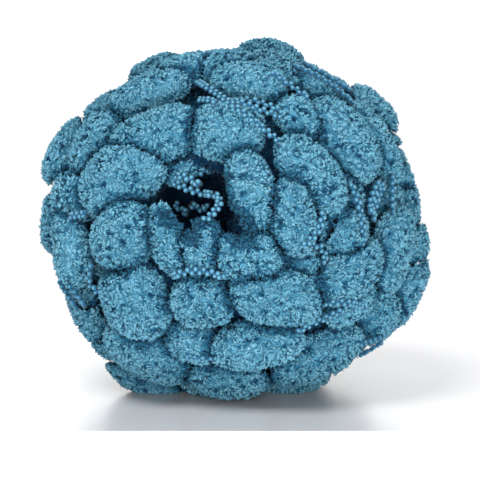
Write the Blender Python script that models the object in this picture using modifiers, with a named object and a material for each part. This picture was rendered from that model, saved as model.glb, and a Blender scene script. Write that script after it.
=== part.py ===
# Pom pom yarn wound in a ball: plush puffs strung on a thin two-ply thread, made as one
# closed solid with a pull hole in its front and a flat spot where it rests.
# Metres, +Z up. The front looks along -Y and the ball stands on z = 0.
# Sizes and tables are in millimetres, and MM turns them into metres at the end.
import math

import bmesh
import bpy
import numpy as np

MM = 0.001

# Wound ball: half its width, depth and height, measured over the pile
BALL_HALF = np.array((98.0, 94.0, 93.5))
CENTRE_HEIGHT = 82.0      # centre over the surface, so the lowest 11.5 mm are pressed flat
CORE_DEPTH = 21.0         # how far the tight inner winds lie under the pile
PUFF_FULLNESS = 2.5       # 2 is an egg, more is a fuller pillow
PUFF_THICKNESS = 0.94     # thickness of a puff in widths
THREAD_RADIUS = 1.6
THREAD_LIFT = 0.6         # how far a thread's centre stands over what it lies on
THREAD_TUCK = 2.5         # how far its ends run into the pile
THREAD_STEPS = 12
# Where the puffs are looked for along the view, from the centre's distance
SEARCH_NEAR = -110.0
SEARCH_FAR = 10.0
SEARCH_STEP = 0.5

# The front as a viewer sees it: 1.3 m away and 7 degrees above the surface. "Across" runs
# to the right of the ball's centre and "up" from the lowest point seen.
VIEW_TILT = 7.0
VIEW_DISTANCE = 1300.0
VIEW_AIM = (2.5, -7.9)
CENTRE_UP = 86.9

# Puffs on the near side. Turn is the long axis, clockwise from level, and sink is how far
# the puff is pressed in under its neighbours.
# across, up, length, width, turn, sink
NEAR_PUFFS = (
    (-56, 110.5, 51, 34, -18, 0),
    (-55.5, 81, 38, 32, -50, 0),
    (-49, 50, 43, 35, 88, 0),
    (-39.5, 130, 48, 29, -8, 0),
    (-43, 150.5, 44, 24, 2, 1),
    (-23.5, 163.5, 31, 20, 4, 1),
    (-3.5, 164.5, 30, 21, 5, 1),
    (16.5, 161, 31, 18, 10, 3),
    (7.5, 157.5, 37, 23, 3, 0),
    (-4.5, 133.5, 38, 30, 10, 0),
    (7, 103.5, 40, 25, 80, 0),
    (7.5, 71.5, 35, 28, 10, 1),
    (21, 52, 49, 32, 20, 0),
    (11, 27.5, 46, 27, -8, 0),
    (-3.5, 9.5, 37, 22, 0, -1),
    (31, 9, 36, 20, 0, 2),
    (-45, 9, 42, 20, 8, -4),
    (-44, 23.5, 45, 28, 14, 0),
    (-19, 28.5, 31, 24, 0, 5),
    (-16, 48.5, 32, 26, 0, 3),
    (-17, 77.5, 33, 22, 88, 5),
    (-33, 79, 37, 20, 72, 6),
    (56.5, 63, 42, 27, -25, 0),
    (77.5, 73, 44, 24, -65, 0),
    (55.5, 81.5, 28, 24, 80, 4),
    (58.5, 49, 35, 21, -20, 4),
    (70, 41, 31, 26, -60, 0),
    (68.5, 128, 44, 21, 62, 2),
    (53, 128, 47, 32, 55, 0),
    (38, 111.5, 45, 27, 50, 1),
    (28.5, 90, 39, 24, 85, 0),
    (32, 139, 27, 23, 70, 3),
    (40, 154, 28, 18, 30, 4),
    (41.5, 22, 48, 26, -9, 0),
    (30.5, 65.5, 28, 21, 10, 9),
    (47.5, 88, 24, 20, 60, 10),
    (55, 103, 26, 20, 80, 9),
    (74, 99, 28, 20, 80, 10),
    (-81.5, 74.5, 38, 22, 88, 0),
    (-84.5, 104, 30, 20, 75, 3),
    (-69, 127.5, 37, 24, -66, 0),
    (-71.5, 34, 38, 22, 58, 2),
    (-61.5, 24, 32, 24, 35, 1),
    (-74, 47, 28, 20, 60, 4),
    (-64, 40, 26, 22, 60, 9),
    (-26.5, 118, 28, 21, -35, 17),
)
# Puffs that show past the ball's edge from its far side, with the same columns
FAR_PUFFS = (
    (17.5, 169, 33, 22, -8, -4),
    (-40, 163, 27, 18, -15, -2),
    (46, 155, 40, 20, 30, 5),
    (-91.5, 88, 33, 20, 85, 0),
    (-88, 124, 36, 24, -65, -4),
    (-70, 144, 30, 22, -40, 2),
    (86.5, 54, 40, 26, -65, -3),
    (91.5, 72, 33, 22, 85, 0),
    (86.5, 93, 34, 22, 65, 4),
    (82, 109, 26, 18, 80, 5),
    (79, 122.5, 28, 20, 75, 5),
    (76, 132, 30, 20, 68, 4),
    (72, 146, 30, 22, 50, -2),
)
# The puff that the ball stands on
BASE_PUFF_SIZE = (42, 28)

# Threads that span between the puffs: a bend from one point past another to a third, and
# how deep under the pile's surface the thread hangs where nothing carries it.
# across, up, across, up, across, up, depth
THREADS = (
    (-19, 158.5, 1.5, 144.5, 23, 127.5, 7),
    (-2.5, 149.5, 10.5, 145, 22.5, 140.5, 8),
    (-18, 149, -14, 149, -9, 148, 9),
    (18.5, 163, 27.5, 156.5, 36, 150.5, 4),
    (35.5, 167, 47.5, 160.5, 57.5, 154, 3),
    (30, 166, 45, 159, 59, 147.5, 4),
    (-31.5, 61, -17.5, 63.5, -4.5, 59.5, 6),
    (-71.5, 68, -73, 58.5, -67.5, 52.5, 6),
    (57.5, 107, 62, 96, 64.5, 77.5, 4),
    (75, 107.5, 70.5, 98, 69.5, 89.5, 6),
    (79, 110.5, 79, 102.5, 79, 93, 5),
    (44, 93.5, 41.5, 84, 34, 76, 6),
    (39, 76.5, 43.5, 74.5, 45, 68, 7),
    (31, 33.5, 43.5, 39.5, 56.5, 45.5, 6),
    (62, 27.5, 67.5, 28.5, 74, 31, 4),
    (-87.5, 57, -84, 52, -79.5, 45, 4),
    (-25.5, 20.5, -17.5, 20, -8.5, 18.5, 6),
)

# Pull hole: a blind pit in the inner winds, and the puffs that line it in rings
PIT_CENTRE = np.array((-20.0, -62.0, 12.0))
PIT_HALF = np.array((20.0, 54.0, 22.0))
LINING_SIZE = (32, 23)
LINING_STEP = 60.0
# depth along Y, distance from the pit's axis, angle of the first puff, number of puffs
LINING_RINGS = ((-50.0, 30.0, 165.0, 4), (-22.0, 26.0, 15.0, 6))
PIT_END_PUFF = (-20.0, 2.0, 12.0)

# The sides and back, wound the same way: the yarn runs round the ball in four planes
WIND_AXES = ((0.15, 0.2, 1.0), (1.0, 0.5, 0.1), (-0.3, 1.0, 0.5), (0.8, -0.6, 0.6))
WOUND_SEED = 7
WOUND_LATTICE = 160       # even spots over the ball, of which the free ones are used
WOUND_LENGTHS = (36, 45)
WOUND_WIDTHS = (24, 29)
WOUND_CLEARANCE = 22.0    # from a spot to the nearest puff in the tables
WOUND_FRONT_LIMIT = -48.0  # how far toward the viewer a spot may lie
EDGE_SINK = 6.0           # extra sink at the ball's edge, which the tables set
EDGE_WIDTH = 45.0
SPREAD_ROUNDS = 50
SPREAD_STEP = 2.2
SPREAD_REACH = 1.95       # two puffs that just touch are 2 half sizes apart
SPREAD_RANGE = 50.0       # puffs further apart than this don't push

# Mesh
SPHERE_DETAIL = 3
VOXEL = 1.4
TRIANGLES = 10400
MERGE_DISTANCE = 0.01
FLOOR_DEPTH = 30.0
CREASE_ANGLE = 45.0


def view_axes():
    """The viewer's right, up and forward directions."""
    tilt = math.radians(VIEW_TILT)
    right = np.array((1.0, 0.0, 0.0))
    up = np.array((0.0, math.sin(tilt), math.cos(tilt)))
    ahead = np.array((0.0, math.cos(tilt), -math.sin(tilt)))
    return right, up, ahead


def eye_point():
    right, up, ahead = view_axes()
    return right * VIEW_AIM[0] + up * VIEW_AIM[1] - ahead * VIEW_DISTANCE


def view_way(across, up_seen):
    """Direction from the eye to a point of the view, measured from the ball's centre."""
    right, up, _ = view_axes()
    way = right * across + up * (up_seen - CENTRE_UP) - eye_point()
    return way / np.linalg.norm(way)


def shell_point(across, up_seen, depth, side):
    """Where the view meets the shell at this depth, on its near (-1) or far (1) side."""
    half = BALL_HALF - depth
    eye, way = eye_point(), view_way(across, up_seen)
    eye_scaled, way_scaled = eye / half, way / half
    square = way_scaled @ way_scaled
    cross = eye_scaled @ way_scaled
    rest = eye_scaled @ eye_scaled - 1.0
    room = cross * cross - square * rest
    if room > 0.0:
        return eye + way * (-cross + side * math.sqrt(room)) / square
    edge = eye - way * cross / square
    return edge / np.linalg.norm(edge / half)


def make_puff(spot, length, width, heading):
    """A puff as its centre, its axes in columns (long, wide, out) and its half sizes."""
    out = spot / BALL_HALF ** 2
    out = out / np.linalg.norm(out)
    along = heading - out * (heading @ out)
    along = along / np.linalg.norm(along)
    axes = np.column_stack((along, np.cross(out, along), out))
    return spot, axes, np.array((length, width, width * PUFF_THICKNESS)) / 2


def table_puffs():
    """The puffs that the front shows, laid on the shell where the viewer sees them."""
    right, up, _ = view_axes()
    puffs = []
    for rows, side in ((NEAR_PUFFS, -1), (FAR_PUFFS, 1)):
        for across, up_seen, length, width, turn, sink in rows:
            angle = math.radians(turn)
            heading = right * math.cos(angle) - up * math.sin(angle)
            spot = shell_point(across, up_seen, width * PUFF_THICKNESS / 2 + sink, side)
            nearness = np.linalg.norm(spot - eye_point()) / VIEW_DISTANCE
            puffs.append(make_puff(spot, length * nearness, width * nearness, heading))
    length, width = BASE_PUFF_SIZE
    base = np.array((0.0, 0.0, width * PUFF_THICKNESS / 2 - BALL_HALF[2]))
    puffs.append(make_puff(base, length, width, right))
    return puffs


def lining_puffs():
    """Puffs around the pull hole's walls, and one at its end."""
    puffs = []
    for depth, distance, first, count in LINING_RINGS:
        for number in range(count):
            angle = math.radians(first + LINING_STEP * number)
            outward = np.array((math.cos(angle), 0.0, math.sin(angle)))
            around = np.array((-math.sin(angle), 0.0, math.cos(angle)))
            spot = np.array((PIT_CENTRE[0], depth, PIT_CENTRE[2])) + outward * distance
            puffs.append(make_puff(spot, *LINING_SIZE, around))
    puffs.append(make_puff(np.array(PIT_END_PUFF), *LINING_SIZE, np.array((1.0, 0.0, 0.0))))
    return puffs


def wind_heading(spot):
    """The yarn's direction here: round the axis whose winding plane lies nearest."""
    way = spot / np.linalg.norm(spot)
    axes = [np.array(axis) / np.linalg.norm(axis) for axis in WIND_AXES]
    nearest = min(axes, key=lambda axis: abs(axis @ way))
    return np.cross(nearest, way)


def wound_spots(taken, rng):
    """Even spots on the shell away from the puffs already there, with their sizes."""
    ahead = view_axes()[2]
    centres = np.array([puff[0] for puff in taken])
    golden_angle = math.pi * (3 - math.sqrt(5))
    spots = []
    for number in range(WOUND_LATTICE):
        height = 1 - 2 * (number + 0.5) / WOUND_LATTICE
        ring = math.sqrt(1 - height * height)
        angle = number * golden_angle
        way = np.array((ring * math.cos(angle), ring * math.sin(angle), height))
        length, width = rng.uniform(*WOUND_LENGTHS), rng.uniform(*WOUND_WIDTHS)
        spot = way * (BALL_HALF - width * PUFF_THICKNESS / 2)
        free = np.linalg.norm(centres - spot, axis=1).min() > WOUND_CLEARANCE
        if free and spot @ ahead > WOUND_FRONT_LIMIT:
            spots.append((spot, length, width))
    return spots


def settle(spot, width):
    """The spot moved along its own ray onto the shell, deeper near the ball's edge."""
    away = abs(spot @ view_axes()[2])
    sink = EDGE_SINK * max(0.0, 1 - away / EDGE_WIDTH)
    half = BALL_HALF - width * PUFF_THICKNESS / 2 - sink
    return spot / np.linalg.norm(spot / half)


def closeness(first, second):
    """Distance of two puffs in half sizes: 2 where they just touch."""
    between = first[0] - second[0]
    parts = [np.linalg.norm((axes.T @ between / half)[:2]) for _, axes, half in (first, second)]
    return sum(parts) / 2


def wound_puffs(taken):
    """The rest of the ball: puffs that push each other apart until they lie evenly."""
    rng = np.random.default_rng(WOUND_SEED)
    puffs = [make_puff(spot, length, width, wind_heading(spot))
             for spot, length, width in wound_spots(taken, rng)]
    for _ in range(SPREAD_ROUNDS):
        for number, puff in enumerate(puffs):
            spot, _, half = puff
            push = np.zeros(3)
            for other in taken + puffs:
                between = spot - other[0]
                far = np.linalg.norm(between)
                if 0.0 < far < SPREAD_RANGE:
                    push += between / far * max(0.0, SPREAD_REACH - closeness(puff, other))
            spot = settle(spot + push * SPREAD_STEP, 2 * half[1])
            puffs[number] = make_puff(spot, 2 * half[0], 2 * half[1], wind_heading(spot))
    return puffs


def all_puffs():
    front = table_puffs()
    return front + lining_puffs() + wound_puffs(front)


def first_hit(way, puffs):
    """Distance along the view at which it first enters a puff, or infinity."""
    distances = VIEW_DISTANCE + np.arange(SEARCH_NEAR, SEARCH_FAR, SEARCH_STEP)
    points = eye_point() + way * distances[:, None]
    inside = np.zeros(len(distances), dtype=bool)
    for spot, axes, half in puffs:
        local = np.abs((points - spot) @ axes / half)
        inside |= (local ** PUFF_FULLNESS).sum(axis=1) < 1.0
    return distances[inside.argmax()] if inside.any() else math.inf


def pulled_taut(reach):
    """The distances with each one brought forward to the straightest line past it."""
    taut = list(reach)
    for place in range(1, len(reach) - 1):
        for before in range(place):
            for after in range(place + 1, len(reach)):
                share = (place - before) / (after - before)
                line = reach[before] * (1 - share) + reach[after] * share
                taut[place] = min(taut[place], line)
    return taut


def thread_route(x1, y1, x2, y2, x3, y3, depth, puffs):
    """Points of a thread pulled taut over whatever lies under its bend."""
    start, middle, end = np.array((x1, y1)), np.array((x2, y2)), np.array((x3, y3))
    pull = 2 * middle - (start + end) / 2
    ways, reach = [], []
    for share in np.linspace(0.0, 1.0, THREAD_STEPS):
        seen = (1 - share) ** 2 * start + 2 * share * (1 - share) * pull + share ** 2 * end
        way = view_way(*seen)
        hit = first_hit(way, puffs)
        hanging = np.linalg.norm(shell_point(*seen, depth, -1) - eye_point())
        tucked = share in (0.0, 1.0) and hit < math.inf
        ways.append(way)
        reach.append(hit + THREAD_TUCK if tucked else min(hit, hanging) - THREAD_LIFT)
    return [eye_point() + way * far for way, far in zip(ways, pulled_taut(reach))]


def ball_offset(puffs):
    """Moves the ball's own centre so that its box stands centred on the origin."""
    power = PUFF_FULLNESS / (PUFF_FULLNESS - 1)
    reaches = [(np.abs(axes * half) ** power).sum(axis=1) ** (1 / power)
               for _, axes, half in puffs]
    low = np.min([puff[0] - reach for puff, reach in zip(puffs, reaches)], axis=0)
    high = np.max([puff[0] + reach for puff, reach in zip(puffs, reaches)], axis=0)
    middle = (low + high) / 2
    return np.array((-middle[0], -middle[1], CENTRE_HEIGHT))


def add_pillow(mesh, centre, axes, half, fullness):
    """A closed pillow shape: a sphere swelled toward the box of its half sizes."""
    ball = bmesh.ops.create_icosphere(mesh, subdivisions=SPHERE_DETAIL, radius=1.0)
    for vert in ball["verts"]:
        way = np.array(vert.co)
        swell = (np.abs(way) ** fullness).sum() ** (-1 / fullness)
        vert.co = (centre + axes @ (way * swell * half)) * MM


def new_object(name, mesh, collection):
    item = bpy.data.objects.new(name, mesh)
    collection.objects.link(item)
    return item


def pillow_object(name, pillows, collection, fullness=PUFF_FULLNESS):
    data = bpy.data.meshes.new(name)
    mesh = bmesh.new()
    for centre, axes, half in pillows:
        add_pillow(mesh, centre, axes, half, fullness)
    mesh.to_mesh(data)
    mesh.free()
    return new_object(name, data, collection)


def thread_object(routes, collection):
    curve = bpy.data.curves.new("threads", "CURVE")
    curve.dimensions = "3D"
    curve.bevel_depth = THREAD_RADIUS * MM
    curve.bevel_resolution = 2
    curve.use_fill_caps = True
    for route in routes:
        spline = curve.splines.new("POLY")
        spline.points.add(len(route) - 1)
        for point, place in zip(spline.points, route):
            point.co = (*(place * MM), 1.0)
    return new_object("threads", curve, collection)


def baked(item):
    """The item's mesh as its modifiers leave it."""
    graph = bpy.context.evaluated_depsgraph_get()
    return bpy.data.meshes.new_from_object(item.evaluated_get(graph))


def remove(item):
    bpy.data.objects.remove(item)


def cut(item, cutter):
    """Takes the cutter's shape out of the item, and leaves a plain mesh."""
    change = item.modifiers.new("cut", "BOOLEAN")
    change.operation = "DIFFERENCE"
    change.object = cutter
    item.data = baked(item)
    item.modifiers.remove(change)


def hide(cutter):
    cutter.hide_render = True
    cutter.display_type = "WIRE"


def inner_winds(offset, parts, cutters):
    """The tight winds under the puffs, with the pit of the pull hole cut out."""
    core = pillow_object("core", [(offset, np.eye(3), BALL_HALF - CORE_DEPTH)], parts, 2.0)
    pit = pillow_object("pit_cutter", [(PIT_CENTRE + offset, np.eye(3), PIT_HALF)], cutters)
    hide(pit)
    cut(core, pit)
    return core


def joined(items, name, collection):
    """One object that holds the meshes of all the items."""
    mesh = bmesh.new()
    for item in items:
        mesh.from_mesh(baked(item))
        remove(item)
    bmesh.ops.remove_doubles(mesh, verts=mesh.verts, dist=MERGE_DISTANCE * MM)
    data = bpy.data.meshes.new(name)
    mesh.to_mesh(data)
    mesh.free()
    return new_object(name, data, collection)


def fused(item):
    """The overlapping shapes as one skin, thinned to the triangles that it needs."""
    skin = item.modifiers.new("skin", "REMESH")
    skin.mode = "VOXEL"
    skin.voxel_size = VOXEL * MM
    item.data = baked(item)
    item.modifiers.remove(skin)
    triangles = sum(len(face.vertices) - 2 for face in item.data.polygons)
    thin = item.modifiers.new("thin", "DECIMATE")
    thin.ratio = TRIANGLES / triangles
    item.data = baked(item)
    item.modifiers.remove(thin)


def floor_cutter(cutters):
    side = 4 * BALL_HALF[0] * MM
    depth = FLOOR_DEPTH * MM
    data = bpy.data.meshes.new("floor_cutter")
    mesh = bmesh.new()
    bmesh.ops.create_cube(mesh, size=1.0)
    bmesh.ops.scale(mesh, vec=(side, side, depth), verts=mesh.verts)
    bmesh.ops.translate(mesh, vec=(0.0, 0.0, -depth / 2), verts=mesh.verts)
    mesh.to_mesh(data)
    mesh.free()
    cutter = new_object("floor_cutter", data, cutters)
    hide(cutter)
    return cutter


def plush_material():
    material = bpy.data.materials.new("blue_plush")
    material.use_nodes = True
    shader = material.node_tree.nodes["Principled BSDF"]
    shader.inputs["Base Color"].default_value = (0.10, 0.31, 0.45, 1.0)
    shader.inputs["Roughness"].default_value = 0.95
    shader.inputs["Metallic"].default_value = 0.0
    return material


def new_collection(name):
    collection = bpy.data.collections.new(name)
    bpy.context.scene.collection.children.link(collection)
    return collection


def main():
    for item in list(bpy.data.objects):
        remove(item)
    parts = new_collection("pom_pom_yarn")
    cutters = new_collection("cutters")
    puffs = all_puffs()
    offset = ball_offset(puffs)
    routes = [[point + offset for point in thread_route(*row, puffs)] for row in THREADS]
    placed = [(spot + offset, axes, half) for spot, axes, half in puffs]
    items = [
        inner_winds(offset, parts, cutters),
        pillow_object("puffs", placed, parts),
        thread_object(routes, parts),
    ]
    ball = joined(items, "yarn_ball", parts)
    fused(ball)
    cut(ball, floor_cutter(cutters))
    ball.data.name = "yarn_ball"
    ball.data.materials.clear()
    ball.data.materials.append(plush_material())
    ball.data.shade_smooth()
    ball.data.set_sharp_from_angle(angle=math.radians(CREASE_ANGLE))


main()
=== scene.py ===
# Pom pom yarn wound in a ball: plush puffs strung on a beaded two-ply thread.
# The puffs and threads are laid from the same tables as the CAD ball, in millimetres,
# and mm turns them into metres where a mesh is made.
import math

import bmesh
import bpy
import numpy as np
from mathutils import Matrix, Vector, noise
from mathutils.bvhtree import BVHTree


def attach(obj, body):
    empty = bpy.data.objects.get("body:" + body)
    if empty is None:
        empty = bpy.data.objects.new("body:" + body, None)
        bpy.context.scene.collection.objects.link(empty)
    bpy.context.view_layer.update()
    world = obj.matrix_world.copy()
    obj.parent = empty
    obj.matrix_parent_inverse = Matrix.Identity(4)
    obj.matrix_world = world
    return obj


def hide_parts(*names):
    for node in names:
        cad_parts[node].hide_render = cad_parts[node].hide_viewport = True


mm = 0.001
goldenShare = 3 - math.sqrt(5)    # of half a turn, which spreads directions evenly

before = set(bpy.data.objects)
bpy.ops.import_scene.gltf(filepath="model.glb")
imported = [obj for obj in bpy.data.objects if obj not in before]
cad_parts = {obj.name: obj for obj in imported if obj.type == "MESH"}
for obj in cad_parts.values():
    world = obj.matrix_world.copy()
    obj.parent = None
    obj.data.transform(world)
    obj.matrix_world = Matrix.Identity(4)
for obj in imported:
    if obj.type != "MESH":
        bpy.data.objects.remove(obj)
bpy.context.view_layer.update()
print("frame: CAD ball loaded")

# The wound ball and the way a viewer sees its front
ball = {
    "half": np.array((98.0, 94.0, 93.5)),
    "centreHeight": 82.0,
    "coreDepth": 21.0,
    "viewTilt": 7.0,
    "viewDistance": 1300.0,
    "viewAim": (2.5, -7.9),
    "viewWidth": 240.0,
    "sensorWidth": 36.0,
    "centreUp": 86.9,
}

form = {
    "fullness": 2.5,       # 2 is an egg, more is a fuller pillow
    "topFullness": 2.2,    # the pile's own top is rounder
    "thickness": 0.94,     # in widths
    "detail": 4,
    "lumpSize": 13.0,
    "lumpHeight": 1.3,
    "dimpleSize": 6.0,
    "dimpleHeight": 0.5,
    "shoulder": 40.0,      # less rounds a puff off sooner where it meets another
    "creaseStart": 1.38,   # a puff starts to fall towards a neighbour this far out, in radii
    "creaseFall": 2.0,     # how much lower its top lies where they meet
    "wallFall": 0.75,      # the same on its sides, deep between the puffs
    "creaseThin": 0.6,     # share of the pile's depth that is pressed away there
    "contactSteps": 13,
    "contactReach": 1.7,
    "nearReach": 1.2,
    "leastShare": 0.05,
    "trim": 0.1,           # how far the pile's top lies under the CAD puff's surface
    "plump": 1.09,         # fuller along and across, so that puffs close up on each other
    "baseSize": (42, 28),
}

# across, up, length, width, turn, sink
nearPuffs = (
    (-56, 110.5, 51, 34, -18, 0),
    (-55.5, 81, 38, 32, -50, 0),
    (-49, 50, 43, 35, 88, 0),
    (-39.5, 130, 48, 29, -8, 0),
    (-43, 150.5, 44, 24, 2, 1),
    (-23.5, 163.5, 31, 20, 4, 1),
    (-3.5, 164.5, 30, 21, 5, 1),
    (16.5, 161, 31, 18, 10, 3),
    (7.5, 157.5, 37, 23, 3, 0),
    (-4.5, 133.5, 38, 30, 10, 0),
    (7, 103.5, 40, 25, 80, 0),
    (7.5, 71.5, 35, 28, 10, 1),
    (21, 52, 49, 32, 20, 0),
    (11, 27.5, 46, 27, -8, 0),
    (-3.5, 9.5, 37, 22, 0, -1),
    (31, 9, 36, 20, 0, 2),
    (-45, 9, 42, 20, 8, -4),
    (-44, 23.5, 45, 28, 14, 0),
    (-19, 28.5, 31, 24, 0, 5),
    (-16, 48.5, 32, 26, 0, 3),
    (-17, 77.5, 33, 22, 88, 5),
    (-33, 79, 37, 20, 72, 6),
    (56.5, 63, 42, 27, -25, 0),
    (77.5, 73, 44, 24, -65, 0),
    (55.5, 81.5, 28, 24, 80, 4),
    (58.5, 49, 35, 21, -20, 4),
    (70, 41, 31, 26, -60, 0),
    (68.5, 128, 44, 21, 62, 2),
    (53, 128, 47, 32, 55, 0),
    (38, 111.5, 45, 27, 50, 1),
    (28.5, 90, 39, 24, 85, 0),
    (32, 139, 27, 23, 70, 3),
    (40, 154, 28, 18, 30, 4),
    (41.5, 22, 48, 26, -9, 0),
    (30.5, 65.5, 28, 21, 10, 9),
    (47.5, 88, 24, 20, 60, 10),
    (55, 103, 26, 20, 80, 9),
    (74, 99, 28, 20, 80, 10),
    (-81.5, 74.5, 38, 22, 88, 0),
    (-84.5, 104, 30, 20, 75, 3),
    (-69, 127.5, 37, 24, -66, 0),
    (-71.5, 34, 38, 22, 58, 2),
    (-61.5, 24, 32, 24, 35, 1),
    (-74, 47, 28, 20, 60, 4),
    (-64, 40, 26, 22, 60, 9),
    (-26.5, 118, 28, 21, -35, 17),
)
# Puffs that show past the ball's edge from its far side, with the same columns
farPuffs = (
    (17.5, 169, 33, 22, -8, -4),
    (-40, 163, 27, 18, -15, -2),
    (46, 155, 40, 20, 30, 5),
    (-91.5, 88, 33, 20, 85, 0),
    (-88, 124, 36, 24, -65, -4),
    (-70, 144, 30, 22, -40, 2),
    (86.5, 54, 40, 26, -65, -3),
    (91.5, 72, 33, 22, 85, 0),
    (86.5, 93, 34, 22, 65, 4),
    (82, 109, 26, 18, 80, 5),
    (79, 122.5, 28, 20, 75, 5),
    (76, 132, 30, 20, 68, 4),
    (72, 146, 30, 22, 50, -2),
)

# The sides and back: the yarn runs round the ball in four planes
winding = {
    "axes": ((0.15, 0.2, 1.0), (1.0, 0.5, 0.1), (-0.3, 1.0, 0.5), (0.8, -0.6, 0.6)),
    "seed": 7,
    "lattice": 160,
    "lengths": (36, 45),
    "widths": (24, 29),
    "clearance": 22.0,
    "frontLimit": -48.0,
    "edgeSink": 6.0,
    "edgeWidth": 45.0,
    "rounds": 50,
    "step": 2.2,
    "reach": 1.95,
    "range": 50.0,
}

# Pull hole: a blind pit in the inner winds, lined with puffs in two rings
hole = {
    "centre": np.array((-20.0, -62.0, 12.0)),
    "half": np.array((20.0, 54.0, 22.0)),
    "liningSize": (32, 23),
    "liningStep": 60.0,
    "rings": ((-50.0, 30.0, 165.0, 4), (-22.0, 26.0, 15.0, 6)),
    "endPuff": (-20.0, 2.0, 12.0),
}

# The mouth of the pull hole holds the puffs round it apart: across, up, length, width, turn
holeMouth = {
    "shapes": ((-24.0, 97.0, 32.0, 17.0, 0.0), (-9.5, 103.0, 28.0, 11.0, 80.0),
               (0.0, 86.5, 22.0, 13.0, 50.0), (-27.0, 105.0, 20.0, 12.0, -35.0),
               (-26.5, 85.0, 20.0, 9.0, 65.0), (-34.0, 94.0, 16.0, 12.0, 25.0),
               (-5.5, 80.0, 14.0, 6.0, 75.0), (-31.0, 89.5, 20.0, 7.0, 52.0),
               (2.5, 86.0, 16.0, 8.0, 10.0)),
    "depth": 26.0,
    "lead": 0.1,
}

# Threads over the pile: a bend from one point past another to a third, and how deep the
# thread hangs where nothing carries it. across, up, across, up, across, up, depth
cadThreads = (
    (-19, 158.5, 1.5, 144.5, 23, 127.5, 7),
    (-2.5, 149.5, 10.5, 145, 22.5, 140.5, 8),
    (-18, 149, -14, 149, -9, 148, 9),
    (18.5, 163, 27.5, 156.5, 36, 150.5, 4),
    (35.5, 167, 47.5, 160.5, 57.5, 154, 3),
    (30, 166, 45, 159, 59, 147.5, 4),
    (-31.5, 61, -17.5, 63.5, -4.5, 59.5, 6),
    (-71.5, 68, -73, 58.5, -67.5, 52.5, 6),
    (57.5, 107, 62, 96, 64.5, 77.5, 4),
    (75, 107.5, 70.5, 98, 69.5, 89.5, 6),
    (79, 110.5, 79, 102.5, 79, 93, 5),
    (44, 93.5, 41.5, 84, 34, 76, 6),
    (39, 76.5, 43.5, 74.5, 45, 68, 7),
    (31, 33.5, 43.5, 39.5, 56.5, 45.5, 6),
    (62, 27.5, 67.5, 28.5, 74, 31, 4),
    (-87.5, 57, -84, 52, -79.5, 45, 4),
    (-25.5, 20.5, -17.5, 20, -8.5, 18.5, 6),
)
# Loops of thread in the pull hole and short lengths between puffs
looseThreads = (
    (-30.5, 108, -21, 103.5, -11, 102, 24),
    (-11, 102, -8, 97, -15, 89, 22),
    (-29.5, 111, -23.5, 110, -17.5, 106, 20),
    (-22.5, 111, -12, 114.5, -7, 116, 30),
    (0.5, 149, 11.5, 148, 23.5, 143, 8),
    (73, 108.5, 68.5, 100, 67.5, 93, 6),
    (45, 47, 54, 48, 63, 46, 6),
    (63, 21.5, 67.5, 24, 73.5, 28, 4),
    (-84.5, 57.5, -80.5, 53, -75.5, 46.5, 4),
    (-82.5, 91, -78.5, 91.5, -74.5, 92, 3),
    (-29.5, 97, -27.5, 94.5, -24, 92.5, 46),
    (-22, 97, -17.5, 94.5, -14, 96, 46),
)

threadLay = {
    "lift": -0.2,
    "tuck": 2.5,
    "steps": 12,
    "searchNear": -110.0,
    "searchFar": 10.0,
    "searchStep": 0.5,
}


# The same layout as the CAD ball's
def viewAxes():
    tilt = math.radians(ball["viewTilt"])
    right = np.array((1.0, 0.0, 0.0))
    up = np.array((0.0, math.sin(tilt), math.cos(tilt)))
    ahead = np.array((0.0, math.cos(tilt), -math.sin(tilt)))
    return right, up, ahead


def eyePoint():
    right, up, ahead = viewAxes()
    return right * ball["viewAim"][0] + up * ball["viewAim"][1] - ahead * ball["viewDistance"]


def viewWay(across, upSeen):
    right, up, _ = viewAxes()
    way = right * across + up * (upSeen - ball["centreUp"]) - eyePoint()
    return way / np.linalg.norm(way)


def shellPoint(across, upSeen, depth, side):
    half = ball["half"] - depth
    eye, way = eyePoint(), viewWay(across, upSeen)
    eyeScaled, wayScaled = eye / half, way / half
    square = wayScaled @ wayScaled
    cross = eyeScaled @ wayScaled
    rest = eyeScaled @ eyeScaled - 1.0
    room = cross * cross - square * rest
    if room > 0.0:
        return eye + way * (-cross + side * math.sqrt(room)) / square
    edge = eye - way * cross / square
    return edge / np.linalg.norm(edge / half)


def makePuff(spot, length, width, heading):
    out = spot / ball["half"] ** 2
    out = out / np.linalg.norm(out)
    along = heading - out * (heading @ out)
    along = along / np.linalg.norm(along)
    axes = np.column_stack((along, np.cross(out, along), out))
    return spot, axes, np.array((length, width, width * form["thickness"])) / 2


def seenHeading(turn):
    # The way that lies at this turn, in degrees, as a viewer sees the ball
    right, up, _ = viewAxes()
    angle = math.radians(turn)
    return right * math.cos(angle) - up * math.sin(angle)


def tablePuffs():
    puffs = []
    for rows, side in ((nearPuffs, -1), (farPuffs, 1)):
        for across, upSeen, length, width, turn, sink in rows:
            depth = width * form["thickness"] / 2 + sink
            spot = shellPoint(across, upSeen, depth, side)
            nearness = np.linalg.norm(spot - eyePoint()) / ball["viewDistance"]
            puffs.append(makePuff(
                spot, length * nearness, width * nearness, seenHeading(turn)))
    length, width = form["baseSize"]
    base = np.array((0.0, 0.0, width * form["thickness"] / 2 - ball["half"][2]))
    puffs.append(makePuff(base, length, width, viewAxes()[0]))
    return puffs


def liningPuffs():
    puffs = []
    centre = hole["centre"]
    for depth, distance, first, count in hole["rings"]:
        for number in range(count):
            angle = math.radians(first + hole["liningStep"] * number)
            outward = np.array((math.cos(angle), 0.0, math.sin(angle)))
            around = np.array((-math.sin(angle), 0.0, math.cos(angle)))
            spot = np.array((centre[0], depth, centre[2])) + outward * distance
            puffs.append(makePuff(spot, *hole["liningSize"], around))
    endPuff = np.array(hole["endPuff"])
    puffs.append(makePuff(endPuff, *hole["liningSize"], np.array((1.0, 0.0, 0.0))))
    return puffs


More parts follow.
